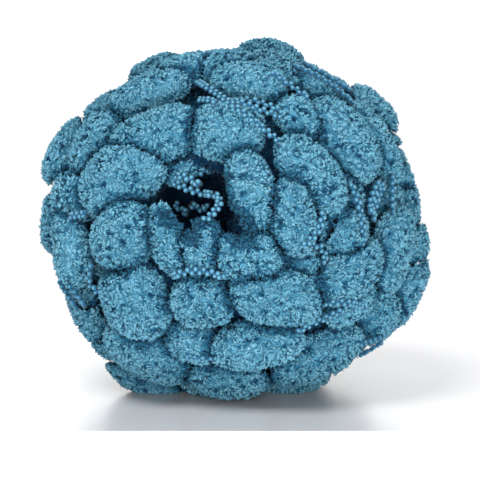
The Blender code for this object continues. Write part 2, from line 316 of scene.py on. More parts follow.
def windHeading(spot):
    way = spot / np.linalg.norm(spot)
    axes = [np.array(axis) / np.linalg.norm(axis) for axis in winding["axes"]]
    nearest = min(axes, key=lambda axis: abs(axis @ way))
    return np.cross(nearest, way)


def woundSpots(taken, rng):
    ahead = viewAxes()[2]
    centres = np.array([puff[0] for puff in taken])
    goldenAngle = math.pi * goldenShare
    spots = []
    for number in range(winding["lattice"]):
        height = 1 - 2 * (number + 0.5) / winding["lattice"]
        ring = math.sqrt(1 - height * height)
        angle = number * goldenAngle
        way = np.array((ring * math.cos(angle), ring * math.sin(angle), height))
        length, width = rng.uniform(*winding["lengths"]), rng.uniform(*winding["widths"])
        spot = way * (ball["half"] - width * form["thickness"] / 2)
        free = np.linalg.norm(centres - spot, axis=1).min() > winding["clearance"]
        if free and spot @ ahead > winding["frontLimit"]:
            spots.append((spot, length, width))
    return spots


def settle(spot, width):
    away = abs(spot @ viewAxes()[2])
    sink = winding["edgeSink"] * max(0.0, 1 - away / winding["edgeWidth"])
    half = ball["half"] - width * form["thickness"] / 2 - sink
    return spot / np.linalg.norm(spot / half)


def closeness(first, second):
    between = first[0] - second[0]
    parts = [np.linalg.norm((axes.T @ between / half)[:2]) for _, axes, half in (first, second)]
    return sum(parts) / 2


def woundPuffs(taken):
    rng = np.random.default_rng(winding["seed"])
    puffs = [makePuff(spot, length, width, windHeading(spot))
             for spot, length, width in woundSpots(taken, rng)]
    for _ in range(winding["rounds"]):
        for number, puff in enumerate(puffs):
            spot, _, half = puff
            push = np.zeros(3)
            for other in taken + puffs:
                between = spot - other[0]
                far = np.linalg.norm(between)
                if 0.0 < far < winding["range"]:
                    push += between / far * max(0.0, winding["reach"] - closeness(puff, other))
            spot = settle(spot + push * winding["step"], 2 * half[1])
            puffs[number] = makePuff(spot, 2 * half[0], 2 * half[1], windHeading(spot))
    return puffs


def ballOffset(puffs):
    power = form["fullness"] / (form["fullness"] - 1)
    reaches = [(np.abs(axes * half) ** power).sum(axis=1) ** (1 / power)
               for _, axes, half in puffs]
    low = np.min([puff[0] - reach for puff, reach in zip(puffs, reaches)], axis=0)
    high = np.max([puff[0] + reach for puff, reach in zip(puffs, reaches)], axis=0)
    middle = (low + high) / 2
    return np.array((-middle[0], -middle[1], ball["centreHeight"]))


def firstHit(way, puffs):
    distances = ball["viewDistance"] + np.arange(
        threadLay["searchNear"], threadLay["searchFar"], threadLay["searchStep"])
    points = eyePoint() + way * distances[:, None]
    inside = np.zeros(len(distances), dtype=bool)
    for spot, axes, half in puffs:
        local = np.abs((points - spot) @ axes / half)
        inside |= (local ** form["fullness"]).sum(axis=1) < 1.0
    return distances[inside.argmax()] if inside.any() else math.inf


def pulledTaut(reach):
    taut = list(reach)
    for place in range(1, len(reach) - 1):
        for before in range(place):
            for after in range(place + 1, len(reach)):
                share = (place - before) / (after - before)
                line = reach[before] * (1 - share) + reach[after] * share
                taut[place] = min(taut[place], line)
    return taut


def threadRoute(x1, y1, x2, y2, x3, y3, depth, puffs):
    start, middle, end = np.array((x1, y1)), np.array((x2, y2)), np.array((x3, y3))
    pull = 2 * middle - (start + end) / 2
    ways, reach = [], []
    for share in np.linspace(0.0, 1.0, threadLay["steps"]):
        seen = (1 - share) ** 2 * start + 2 * share * (1 - share) * pull + share ** 2 * end
        way = viewWay(*seen)
        hit = firstHit(way, puffs)
        hanging = np.linalg.norm(shellPoint(*seen, depth, -1) - eyePoint())
        tucked = share in (0.0, 1.0) and hit < math.inf
        ways.append(way)
        reach.append(hit + threadLay["tuck"] if tucked else min(hit, hanging) - threadLay["lift"])
    return [eyePoint() + way * far for way, far in zip(ways, pulledTaut(reach))]


def numbered(kind, rows):
    return [f"puff_{kind}_{n + 1:02d}" for n in range(len(rows))]


frontPuffs = tablePuffs()
inner = liningPuffs()
roundPuffs = woundPuffs(frontPuffs)
puffs = frontPuffs + inner + roundPuffs
offset = ballOffset(puffs)
puffNames = [*numbered("near", nearPuffs), *numbered("edge", farPuffs), "puff_base",
             *numbered("lining", inner), *numbered("wound", roundPuffs)]
print("layout:", len(puffs), "puffs")


def socketNamed(sockets, name):
    return next(s for s in sockets if s.enabled and (s.name == name or s.identifier == name))


def addNode(tree, kind, plugs=None, **settings):
    node = tree.nodes.new(kind)
    for name, value in settings.items():
        setattr(node, name, value)
    for name, value in (plugs or {}).items():
        socket = node.inputs[name] if isinstance(name, int) else socketNamed(node.inputs, name)
        if isinstance(value, bpy.types.NodeSocket):
            tree.links.new(value, socket)
        else:
            socket.default_value = value
    return node


def math1(tree, operation, first, second=0.0):
    node = addNode(tree, "ShaderNodeMath", {0: first, 1: second}, operation=operation)
    return node.outputs[0]


def vector1(tree, operation, first, second=(0.0, 0.0, 0.0)):
    name = 3 if operation == "SCALE" else 1
    node = addNode(tree, "ShaderNodeVectorMath", {0: first, name: second}, operation=operation)
    return node.outputs["Value" if operation == "DOT_PRODUCT" else "Vector"]


def here(tree):
    return addNode(tree, "GeometryNodeInputPosition").outputs[0]


def combined(tree, **parts):
    return addNode(tree, "ShaderNodeCombineXYZ", parts).outputs[0]


def leastMost(tree, middle, spread):
    # The least and the most of a value that varies this much
    return (math1(tree, way, middle, spread) for way in ("SUBTRACT", "ADD"))


def unit1(tree, vector):
    return vector1(tree, "NORMALIZE", vector)


def lessBy(tree, share, amount):
    # 1 less an amount for each share
    return math1(tree, "SUBTRACT", 1.0, math1(tree, "MULTIPLY", share, amount))


def newTree(name, floats, **others):
    tree = bpy.data.node_groups.new(name, "GeometryNodeTree")
    kinds = {"Geometry": "Geometry", **dict.fromkeys(floats, "Float"), **others}
    for label, kind in kinds.items():
        tree.interface.new_socket(label, in_out="INPUT", socket_type="NodeSocket" + kind)
    tree.interface.new_socket("Geometry", in_out="OUTPUT", socket_type="NodeSocketGeometry")
    return tree, tree.nodes.new("NodeGroupInput").outputs, tree.nodes.new("NodeGroupOutput").inputs


def treeValues(table, sizes, shares):
    # What the tree's inputs of the same names are given: sizes in metres, and plain shares
    return {**{name: table[name] * mm for name in sizes}, **{name: table[name] for name in shares}}


def applied(item, modifier):
    # Runs the modifier once and keeps the result as the item's plain mesh
    graph = bpy.context.evaluated_depsgraph_get()
    made = bpy.data.meshes.new_from_object(
        item.evaluated_get(graph), preserve_all_data_layers=True, depsgraph=graph)
    item.modifiers.remove(modifier)
    old = item.data
    item.data = made
    made.name = item.name
    bpy.data.meshes.remove(old)
    return item


def grown(item, tree, **values):
    modifier = item.modifiers.new(tree.name, "NODES")
    modifier.node_group = tree
    for socket in tree.interface.items_tree:
        if socket.in_out == "INPUT" and socket.name in values:
            modifier[socket.identifier] = values[socket.name]
    return applied(item, modifier)


plushLook = {
    # The dark root colour is painted shade deep in the pile; the rest is the yarn's own blue
    "root": (0.010, 0.072, 0.126),
    "low": (0.078, 0.220, 0.304),
    "middle": (0.084, 0.225, 0.304),
    "tip": (0.084, 0.225, 0.304),
    "lowAt": 0.35,
    "middleAt": 0.7,
    "toneDark": 0.03,
    "toneLight": 1.24,
    "redDepth": 1.7,       # how fast each colour goes as a tuft darkens, with its own tone and with painted shade
    "blueDepth": 0.78,
    "roughness": 0.9,
    "specular": 0.05,
    "sheen": 0.05,
    "sheenRoughness": 0.45,
    "sheenTint": (0.62, 0.86, 1.0),
}

threadLook = {
    # Painted shade at the beads' rims and on the plies, painted light on the beads' crowns
    "rimShadeColour": (0.008, 0.058, 0.112),
    "crownLitColour": (0.062, 0.180, 0.255),
    "crownLow": 0.35,
    "crownHigh": 0.9,
    "roughness": 0.7,
    "specular": 0.1,
    "sheen": 0.05,
    "fibreScale": 900.0,
    "fibreDetail": 3.0,
    "fibreBump": 0.25,
    "bumpDistance": 0.0003,
}


def colour(rgb):
    return (*rgb, 1.0)


def setSockets(sockets, values):
    for name, value in values.items():
        sockets[name].default_value = value


def newMaterial(name, values):
    material = bpy.data.materials.new(name)
    material.use_nodes = True
    tree = material.node_tree
    shader = tree.nodes["Principled BSDF"].inputs
    setSockets(shader, values)
    return material, tree, shader


def readField(tree, name):
    return addNode(tree, "ShaderNodeAttribute", attribute_name=name).outputs["Fac"]


def clothValues(look):
    return {"Roughness": look["roughness"], "Specular IOR Level": look["specular"],
            "Sheen Weight": look["sheen"]}


def ramp(tree, factor, stops):
    node = addNode(tree, "ShaderNodeValToRGB", {"Fac": factor})
    band = node.color_ramp
    while len(band.elements) < len(stops):
        band.elements.new(0.5)
    for element, (place, rgb) in zip(band.elements, stops):
        element.position = place
        element.color = colour(rgb)
    return node.outputs["Color"]


def plushMaterial(name, look):
    # Dark at a tuft's root and pale at its tip, which is painted shade deep in the pile, with each
    # tuft a little lighter or darker
    material, tree, shader = newMaterial(name, {
        **clothValues(look), "Sheen Roughness": look["sheenRoughness"],
        "Sheen Tint": colour(look["sheenTint"])})
    height, tone = readField(tree, "height"), readField(tree, "tone")
    dyeAndShade = ramp(tree, height, (
        (0.0, look["root"]), (look["lowAt"], look["low"]), (look["middleAt"], look["middle"]),
        (1.0, look["tip"])))
    shade = addNode(tree, "ShaderNodeMapRange", {
        "Value": tone, "To Min": look["toneDark"], "To Max": look["toneLight"]}).outputs[0]
    deepened = combined(tree, X=math1(tree, "POWER", shade, look["redDepth"]), Y=shade,
                        Z=math1(tree, "POWER", shade, look["blueDepth"]))
    tree.links.new(vector1(tree, "MULTIPLY", dyeAndShade, deepened), shader["Base Color"])
    return material


def threadMaterial(name, look):
    # Twisted plies with fine fibres along them; each bead is paler on its crown as painted light,
    # and its rim and the plies darker as painted shade
    material, tree, shader = newMaterial(name, clothValues(look))
    place = addNode(tree, "ShaderNodeTexCoord").outputs["Object"]
    fibres = addNode(tree, "ShaderNodeTexNoise", {
        "Vector": place, "Scale": look["fibreScale"], "Detail": look["fibreDetail"]})
    dyeAndShade = ramp(tree, readField(tree, "crown"), (
        (look["crownLow"], look["rimShadeColour"]), (look["crownHigh"], look["crownLitColour"])))
    tree.links.new(dyeAndShade, shader["Base Color"])
    bump = addNode(tree, "ShaderNodeBump", {
        "Height": fibres.outputs["Fac"], "Strength": look["fibreBump"],
        "Distance": look["bumpDistance"]})
    tree.links.new(bump.outputs[0], shader["Normal"])
    return material


plush = plushMaterial("blue_plush", plushLook)
thread = threadMaterial("two_ply_thread", threadLook)


def pillowSwell(ways, power):
    # How far out a pillow's surface lies in each of these ways
    return ((np.abs(ways) ** power).sum(axis=1) ** (-1 / power))[:, None]


def puffReach(points, puff):
    # 1 on the puff's own surface, less inside it
    spot, axes, half = puff
    local = np.abs((points - spot) @ axes / half)
    return (local ** form["topFullness"]).sum(axis=1) ** (1 / form["topFullness"])


def sphereShape(detail):
    mesh = bmesh.new()
    bmesh.ops.create_icosphere(mesh, subdivisions=detail, radius=1.0)
    mesh.verts.ensure_lookup_table()
    ways = np.array([vert.co for vert in mesh.verts])
    faces = [[vert.index for vert in face.verts] for face in mesh.faces]
    mesh.free()
    return ways, faces


def contactShare(centre, rim, neighbours):
    # How far out from its centre each point gets between its neighbours, 1 where it is free
    rays = rim - centre
    far = form["contactReach"]
    crowd, nearest = np.ones(len(rim)), np.full(len(rim), far)
    for other, lead in neighbours:
        meets = puffReach(centre + rays * far, other) < far + lead
        if not meets.any():
            continue
        low, high = np.zeros(meets.sum()), np.full(meets.sum(), far)
        for _ in range(form["contactSteps"]):
            middle = (low + high) / 2
            beyond = puffReach(centre + rays[meets] * middle[:, None], other) < middle + lead
            high = np.where(beyond, middle, high)
            low = np.where(beyond, low, middle)
        crowd[meets] += np.maximum(high, form["leastShare"]) ** -form["shoulder"]
        nearest[meets] = np.minimum(nearest[meets], high)
    return crowd ** (-1 / form["shoulder"]), nearest


def lumps(points, size):
    return np.array([noise.noise(Vector(point / size)) for point in points])


def plainMesh(name, points, faces, edges=()):
    data = bpy.data.meshes.new(name)
    data.from_pydata([tuple(point) for point in points], edges, faces)
    data.shade_smooth()
    return data


def writeField(data, name, values):
    data.attributes.new(name, "FLOAT", "POINT").data.foreach_set("value", values)


def linked(name, data):
    item = bpy.data.objects.new(name, data)
    bpy.context.scene.collection.objects.link(item)
    return item


def vertexNormals(data):
    found = np.empty(len(data.vertices) * 3, np.float32)
    data.vertex_normals.foreach_get("vector", found)
    return found.reshape(-1, 3).astype(float)


def mouthShapes():
    shapes = []
    for across, upSeen, length, width, turn in holeMouth["shapes"]:
        spot, axes, half = makePuff(
            shellPoint(across, upSeen, 0.0, -1), length, width, seenHeading(turn))
        shapes.append((spot, axes, np.array((*half[:2], holeMouth["depth"]))))
    return shapes


def puffShape(number, ways):
    # The top of a puff's pile, pressed in where its neighbours lie
    spot, axes, half = plumpPuffs[number]
    rim = spot + (ways * pillowSwell(ways, form["topFullness"]) * half) @ axes.T
    near = [(other, 0.0) for place, other in enumerate(plumpPuffs)
            if place != number
            and np.linalg.norm(other[0] - spot)
            < form["nearReach"] * (half.max() + other[2].max())]
    near += [(shape, holeMouth["lead"]) for shape in mouths]
    share, nearest = contactShare(spot, rim, near)
    start = form["creaseStart"]
    rise = np.clip((nearest - 1.0) / (start - 1.0), 0.0, 1.0)
    return spot + (rim - spot) * share[:, None], 1.0 - rise * rise * (3 - 2 * rise)


def puffBody(name, number, ways, faces):
    points, crease = puffShape(number, ways)
    data = plainMesh(name, points, faces)
    normals = vertexNormals(data)
    height = (lumps(points, form["lumpSize"]) * form["lumpHeight"]
              + lumps(points, form["dimpleSize"]) * form["dimpleHeight"])
    # A puff falls away at its rim but stays pressed against its neighbours below it
    outward = points / np.linalg.norm(points, axis=1)[:, None]
    facing = np.clip((normals * outward).sum(axis=1), 0.0, 1.0)
    fall = form["wallFall"] + facing * (form["creaseFall"] - form["wallFall"])
    height -= form["trim"] + crease * fall
    top = points + normals * height[:, None] + offset
    under = top - normals * (pile["depth"] * (1 - crease * form["creaseThin"]))[:, None]
    under[:, 2] = np.maximum(under[:, 2], pile["underRaised"])
    for vert, point in zip(data.vertices, under * mm):
        vert.co = point
    # The crease measure also sets the pile's painted shade in the creases
    writeField(data, "crease", crease)
    return data, top * mm


pile = {
    "depth": 1.6,              # from the top of the pile to the puff's body
    "tuftLength": 2.1,
    "tuftWidth": 1.1,
    "tuftTurns": (0.0, 120.0, 240.0),    # its widest points, in degrees round it
    # How high on the tuft each of its five points is dyed, and which side it is on
    "tuftHeights": (0.1, 0.8, 0.72, 0.72, 1.0),
    "tuftSides": (0.0, 0.0, -1.0, 1.0, 0.0),
    "bellyHeight": 0.6,        # in tuft lengths
    "hook": 0.8,               # how far the tip bends over
    "rootDepth": 0.5,
    "spacing": 0.63,
    "farSpacing": 1.36,        # on the sides and back, with larger tufts
    "innerSpacing": 1.7,
    "farSize": 1.45,
    "mostPerSquareMetre": 3.6e6,
    "curlSize": 5.0,
    "lockSize": 2.0,
    "lockLean": 1.2,           # how far each lock leans its own way
    "lockGather": 0.8,         # how far its tufts come together at their tips
    "lockEdge": (0.3, 0.7),    # from here out a lock gets painted shade towards its edge, in lock sizes
    "lockEdgePaintedShade": 0.2,
    "stand": 0.8,              # how upright the tufts are, 0 lies flat
    "standSpread": 0.15,
    "partSize": 7.0,           # partings, where the pile falls to both sides
    "partLean": 1.0,
    "partWidth": 0.03,
    "partReach": 0.08,
    "partShort": 0.4,
    "partStep": 0.4,
    "partDetail": 1.0,
    "looseLean": 0.1,
    "sizeSpread": 0.25,
    "toneSize": 16.0,
    "toneSwirl": 0.35,
    "toneLoose": 0.1,
    "toneMiddle": 0.84,
    "toneLeast": 0.03,
    "toneMost": 0.97,
    "sideTone": 0.02,          # one side of a tuft is this much lighter
    "shadedShare": 0.07,       # locks that lie in the others' shade, with painted shade and shorter tufts
    "shadedBy": 0.65,
    "shadedShort": 0.7,
    "partingPaintedShade": 0.65,
    "underHeight": 0.3,
    "underRaised": 0.8,        # the puffs' bodies stay this far over the floor
    "floorGap": 0.2,
    "openRays": 72,
    "openStart": 0.5,
    "openReach": 300.0,
    "openFacing": 0.1,
    "creasePaintedShade": 0.72,
    "creasePower": 2.0,
    "openDark": 0.0,           # share of the sky at which the pile's painted shade is deepest
    "openLight": 0.2,
    "deepShade": 0.05,
    "seed": 11,
    "seedStep": 10,            # from one puff to the next
    # For a tuft's spin, width and length, the body's painted depth shade and the tuft's stand
    "seedSteps": (1.0, 2.0, 3.0, 5.0, 7.0),
}


def tuftShape():
    # A closed lock of fibres, widest over its middle and bent over at its tip
    radius, length = pile["tuftWidth"] / 2 * mm, pile["tuftLength"] * mm
    points = [(0.0, 0.0, -pile["rootDepth"] * mm)]
    for turn in pile["tuftTurns"]:
        angle = math.radians(turn)
        points.append((radius * math.cos(angle), radius * math.sin(angle),
                       length * pile["bellyHeight"]))
    points.append((pile["hook"] * mm, 0.0, length))
    data = plainMesh("tuft", points, [
        (0, 2, 1), (0, 3, 2), (0, 1, 3), (1, 2, 4), (2, 3, 4), (3, 1, 4)])
    writeField(data, "height", pile["tuftHeights"])
    writeField(data, "side", pile["tuftSides"])
    item = linked("tuft", data)
    item.hide_render = True
    return item


def namedField(tree, name, kind="FLOAT"):
    return addNode(tree, "GeometryNodeInputNamedAttribute", {"Name": name},
                   data_type=kind).outputs["Attribute"]


def stored(tree, geometry, name, value, domain="POINT", kind="FLOAT"):
    node = addNode(tree, "GeometryNodeStoreNamedAttribute",
                   {"Geometry": geometry, "Name": name, "Value": value},
                   data_type=kind, domain=domain)
    return node.outputs["Geometry"]


def randomValue(tree, low, high, seed, kind="FLOAT"):
    node = addNode(tree, "FunctionNodeRandomValue", {"Min": low, "Max": high, "Seed": seed},
                   data_type=kind)
    return socketNamed(node.outputs, "Value")


def between(tree, value, low, high, toLow, toHigh):
    node = addNode(tree, "ShaderNodeMapRange", {
        "Value": value, "From Min": low, "From Max": high, "To Min": toLow, "To Max": toHigh},
        interpolation_type="SMOOTHSTEP")
    return node.outputs[0]


def lockFields(tree, size):
    # The lock of fibres that a point belongs to: its middle, three random shares, whether it
    # lies hidden under the others, and how near its edge the point is; these last two set painted
    # shade
    cells = addNode(tree, "ShaderNodeTexVoronoi", {"Scale": math1(tree, "DIVIDE", 1.0, size)})
    shares = addNode(tree, "ShaderNodeSeparateXYZ", {0: cells.outputs["Color"]}).outputs
    edge = between(tree, cells.outputs["Distance"], *pile["lockEdge"], 0.0, 1.0)
    hidden = math1(tree, "LESS_THAN", shares[1], pile["shadedShare"])
    return cells.outputs["Position"], cells.outputs["Color"], shares, hidden, edge


def toneAndShadeField(tree, sky, parting, shares, hidden, edge):
    # Slow swirls over the ball and each lock's own tone, with painted shade where little light
    # gets in: in the pit and gaps, in the creases, on hidden locks, at lock edges and along the
    # partings
    swirl = addNode(tree, "ShaderNodeTexNoise", {"Scale": 1 / (pile["toneSize"] * mm)})
    slow = math1(tree, "MULTIPLY", math1(tree, "SUBTRACT", swirl.outputs["Fac"], 0.5),
                 pile["toneSwirl"])
    own = math1(tree, "MULTIPLY", math1(tree, "SUBTRACT", shares[0], 0.5), 2 * pile["toneLoose"])
    # Painted shade on hidden locks and towards the edges of each lock
    for share, amount in ((hidden, pile["shadedBy"]), (edge, pile["lockEdgePaintedShade"])):
        own = math1(tree, "SUBTRACT", own, math1(tree, "MULTIPLY", share, amount))
    summed = math1(tree, "ADD", math1(tree, "ADD", slow, own), pile["toneMiddle"])
    # Painted shade along the partings
    summed = math1(tree, "SUBTRACT", summed, math1(tree, "MULTIPLY", parting, pile["partingPaintedShade"]))
    # Painted shade where little of the sky is open
    shaded = math1(tree, "MULTIPLY", summed, between(
        tree, sky, pile["openDark"], pile["openLight"], pile["deepShade"], 1.0))
    # Painted shade in the creases between the puffs
    crease = math1(tree, "POWER", namedField(tree, "crease"), pile["creasePower"])
    shaded = math1(tree, "MULTIPLY", shaded, lessBy(tree, crease, pile["creasePaintedShade"]))
    return addNode(tree, "ShaderNodeClamp", {
        "Value": shaded, "Min": pile["toneLeast"], "Max": pile["toneMost"]}).outputs[0]


def partingFields(tree, partSize):
    # 1 on a parting, 1 beside it too, and the way in which the pile falls from it
    place = here(tree)
    step = pile["partStep"] * mm
    found = []
    for shift in ((0, 0, 0), (step, 0, 0), (0, step, 0), (0, 0, step)):
        clumps = addNode(tree, "ShaderNodeTexNoise", {
            "Vector": vector1(tree, "ADD", place, shift), "Detail": pile["partDetail"],
            "Scale": math1(tree, "DIVIDE", 1.0, partSize)})
        found.append(math1(tree, "ABSOLUTE", math1(tree, "SUBTRACT", clumps.outputs["Fac"], 0.5)))
    slope = combined(tree, **{axis: math1(tree, "SUBTRACT", value, found[0])
                              for axis, value in zip("XYZ", found[1:])})
    line = between(tree, found[0], 0.0, pile["partWidth"], 1.0, 0.0)
    beside = between(tree, found[0], 0.0, pile["partReach"], 1.0, 0.0)
    return line, beside, unit1(tree, slope)


pileSizes = ("curlSize", "lockSize", "partSize", "floorGap")
pileShares = ("mostPerSquareMetre", "lockLean", "lockGather", "stand", "standSpread", "partLean",
              "looseLean", "sizeSpread")


def pileTree():
    tree, given, result = newTree(
        "plush_pile", (*pileSizes, *pileShares, "spacing", "tuftSize"),
        tuft="Object", seed="Int", material="Material")
    seed = given["seed"]
    spinSeed, widthSeed, lengthSeed, underSeed, standSeed = (
        math1(tree, "ADD", seed, step) for step in pile["seedSteps"])
    sky = namedField(tree, "sky")
    roots = addNode(tree, "GeometryNodeDistributePointsOnFaces", {
        "Mesh": given["Geometry"], "Distance Min": given["spacing"],
        "Density Max": given["mostPerSquareMetre"], "Density Factor": namedField(tree, "room"),
        "Seed": seed}, distribute_method="POISSON")
    # Each tuft leans with its lock and away from the partings
    parting, beside, fall = partingFields(tree, given["partSize"])
    middle, shade, shares, hidden, edge = lockFields(tree, given["lockSize"])
    curl = addNode(tree, "ShaderNodeTexNoise", {
        "Vector": middle, "Scale": math1(tree, "DIVIDE", 1.0, given["curlSize"])})
    grey = (0.5, 0.5, 0.5)
    lean = unit1(tree, vector1(tree, "SUBTRACT", curl.outputs["Color"], grey))
    own = vector1(tree, "SCALE", vector1(tree, "SUBTRACT", shade, grey),
                  math1(tree, "MULTIPLY", given["lockLean"], 2.0))
    lean = vector1(tree, "ADD", lean, own)
    loose = vector1(tree, "SCALE", randomValue(tree, (-1, -1, -1), (1, 1, 1), seed,
                                               "FLOAT_VECTOR"), given["looseLean"])
    fallen = vector1(tree, "SCALE", fall, math1(tree, "MULTIPLY", beside, given["partLean"]))
    lean = vector1(tree, "ADD", lean, vector1(tree, "ADD", loose, fallen))
    upright = roots.outputs["Normal"]
    raised = vector1(tree, "SCALE", upright, vector1(tree, "DOT_PRODUCT", lean, upright))
    along = unit1(tree, vector1(tree, "SUBTRACT", lean, raised))
    stand = randomValue(tree, *leastMost(tree, given["stand"], given["standSpread"]), standSeed)
    gather = vector1(tree, "SCALE", vector1(tree, "SUBTRACT", middle, here(tree)),
                     math1(tree, "DIVIDE", given["lockGather"], given["lockSize"]))
    way = vector1(tree, "ADD", vector1(tree, "ADD", along, gather),
                  vector1(tree, "SCALE", upright, stand))
    spin = combined(tree, Z=randomValue(tree, 0.0, 2 * math.pi, spinSeed))
    turned = addNode(tree, "FunctionNodeEulerToRotation", {"Euler": spin})
    aimed = addNode(tree, "FunctionNodeAlignRotationToVector", {
        "Rotation": turned.outputs[0], "Vector": way}, axis="Z")
    small, large = (math1(tree, "MULTIPLY", given["tuftSize"], end)
                    for end in leastMost(tree, 1.0, given["sizeSpread"]))
    width, length = (randomValue(tree, small, large, each) for each in (widthSeed, lengthSeed))
    for share, amount in ((parting, pile["partShort"]), (hidden, pile["shadedShort"])):
        length = math1(tree, "MULTIPLY", length, lessBy(tree, share, amount))
    size = combined(tree, X=width, Y=width, Z=length)
    shape = addNode(tree, "GeometryNodeObjectInfo", {"Object": given["tuft"]})
    tufts = addNode(tree, "GeometryNodeInstanceOnPoints", {
        "Points": roots.outputs["Points"], "Instance": shape.outputs["Geometry"],
        "Rotation": aimed.outputs[0], "Scale": size})
    tone = toneAndShadeField(tree, sky, parting, shares, hidden, edge)
    toned = stored(tree, tufts.outputs[0], "tone", tone, "INSTANCE")
    real = addNode(tree, "GeometryNodeRealizeInstances", {"Geometry": toned})
    sided = stored(tree, real.outputs[0], "tone", math1(
        tree, "ADD", namedField(tree, "tone"), math1(
            tree, "MULTIPLY", namedField(tree, "side"), pile["sideTone"])))
    # The body under the pile is as dark as the roots: painted shade deep in the pile
    under = stored(tree, given["Geometry"], "height",
                   randomValue(tree, 0.0, pile["underHeight"], underSeed))
    under = stored(tree, under, "tone", tone)
    whole = addNode(tree, "GeometryNodeJoinGeometry")
    tree.links.new(under, whole.inputs[0])
    tree.links.new(sided, whole.inputs[0])
    # Nothing reaches below the surface that the ball stands on
    parts = addNode(tree, "ShaderNodeSeparateXYZ", {0: here(tree)}).outputs
    flat = combined(tree, X=parts[0], Y=parts[1],
                    Z=math1(tree, "MAXIMUM", parts[2], given["floorGap"]))
    stood = addNode(tree, "GeometryNodeSetPosition", {
        "Geometry": whole.outputs[0], "Position": flat})
    mapPlace = combined(tree, X=namedField(tree, "height"), Y=namedField(tree, "tone"))
    mapped = stored(tree, stood.outputs[0], "OFBake", mapPlace, "CORNER", "FLOAT2")
    dyed = addNode(tree, "GeometryNodeSetMaterial", {
        "Geometry": mapped, "Material": given["material"]})
    tree.links.new(dyed.outputs[0], result["Geometry"])
    return tree


def openRays():
    # Even directions over a sphere
    count = pile["openRays"]
    heights = 1 - 2 * (np.arange(count) + 0.5) / count
    rings = np.sqrt(1 - heights ** 2)
    angles = np.arange(count) * math.pi * goldenShare
    return np.column_stack((rings * np.cos(angles), rings * np.sin(angles), heights))


def openShares(data, tops, tree, ways):
    # How much of what is around the ball each point on the pile's top can see, from 0 to 1
    start, reach = pile["openStart"] * mm, pile["openReach"] * mm
    seen = np.zeros(len(tops))
    towards = [Vector(way) for way in ways]
    for number, (top, normal) in enumerate(zip(tops, vertexNormals(data))):
        origin = Vector(top + normal * start)
        facing = ways @ normal
        ahead = np.flatnonzero(facing > pile["openFacing"])
        free = [facing[place] for place in ahead
                if tree.ray_cast(origin, towards[place], reach)[0] is None]
        seen[number] = sum(free) / facing[ahead].sum()
    # Evened over each point's neighbours
    total, count = seen.copy(), np.ones(len(seen))
    ends = np.array([edge.vertices[:] for edge in data.edges])
    for one, other in ((0, 1), (1, 0)):
        np.add.at(total, ends[:, one], seen[ends[:, other]])
        np.add.at(count, ends[:, one], 1)
    return total / count


plumpPuffs = [(spot, axes, half * (form["plump"], form["plump"], 1.0))
              for spot, axes, half in puffs]
mouths = mouthShapes()
ways, faces = sphereShape(form["detail"])
shaped = [puffBody(name, number, ways, faces) for number, name in enumerate(puffNames)]
bodies, tops = zip(*shaped)
print("puffs: bodies pressed together")


core = {
    "rise": -1.5,      # the inner puffs that show between the outer ones stand this far up
    "lumpSize": 16.0,
    "lumpHeight": 4.0,
    # Painted shade on the puffs lining the pull hole and on the inner winds, deepest in and round
    # the pit
    "inShade": 0.25,
    "windShade": 1.2,
    "pitShade": 0.05,
    "pitRim": 14.0,    # this far round the pit the winds get the same painted shade as in it
    "pitRoom": 2.0,    # the pit is this much wider than the CAD's, to leave room for pile
    "detail": 4,
    "room": (0.01, 0.07),      # pile stands where this much is open, from thin to full
    "innerRoom": (0.03, 0.06),
}


def pillowItem(name, centre, half, power, detail):
    sphere, triangles = sphereShape(detail)
    points = (centre + sphere * pillowSwell(sphere, power) * half) * mm
    return linked(name, plainMesh(name, points, triangles))


def innerWinds():
    half = ball["half"] - ball["coreDepth"] + core["rise"]
    item = pillowItem("inner_winds", offset, half, 2.0, core["detail"])
    spots = np.array([vert.co for vert in item.data.vertices]) / mm
    swell = 1 + lumps(spots, core["lumpSize"]) * core["lumpHeight"] / half.min()
    for vert, spot, share in zip(item.data.vertices, spots, swell):
        vert.co = (offset + (spot - offset) * share) * mm
    pit = pillowItem("pit_cutter", offset + hole["centre"], hole["half"] + core["pitRoom"],
                     form["fullness"], core["detail"])
    change = item.modifiers.new("pit", "BOOLEAN")
    change.operation = "DIFFERENCE"
    change.object = pit
    applied(item, change)
    bpy.data.objects.remove(pit)
    return item


winds = innerWinds()

windsTop = np.array([vert.co + vert.normal * pile["depth"] * mm for vert in winds.data.vertices])
meshes, levels = [*bodies, winds.data], [*tops, windsTop]
corners, triangles = [], []
for data, level in zip(meshes, levels):
    first = len(corners)
    corners.extend(Vector(point) for point in level)
    triangles.extend([first + place for place in face.vertices] for face in data.polygons)
shell = BVHTree.FromPolygons(corners, triangles)
rays = openRays()
inFront = len(frontPuffs)
deep = range(inFront, inFront + len(inner))
for number, (data, level) in enumerate(zip(meshes, levels)):
    sky = openShares(data, level, shell, rays)
    start, full = core["innerRoom"] if data is winds.data else core["room"]
    room = np.clip((sky - start) / (full - start), 0, 1)
    # The inner winds and the pit's lining puffs get painted shade, deeper where less of the sky is
    # open
    if data is winds.data:
        apart = np.abs(level / mm - offset - hole["centre"])
        inPit = (apart < hole["half"] + core["pitRim"]).all(axis=1)
        sky *= sky * np.where(inPit, core["pitShade"], core["windShade"])
    elif number in deep:
        sky *= sky * core["inShade"]
    writeField(data, "sky", sky)
    writeField(data, "room", room)
print("pile: open surfaces found")

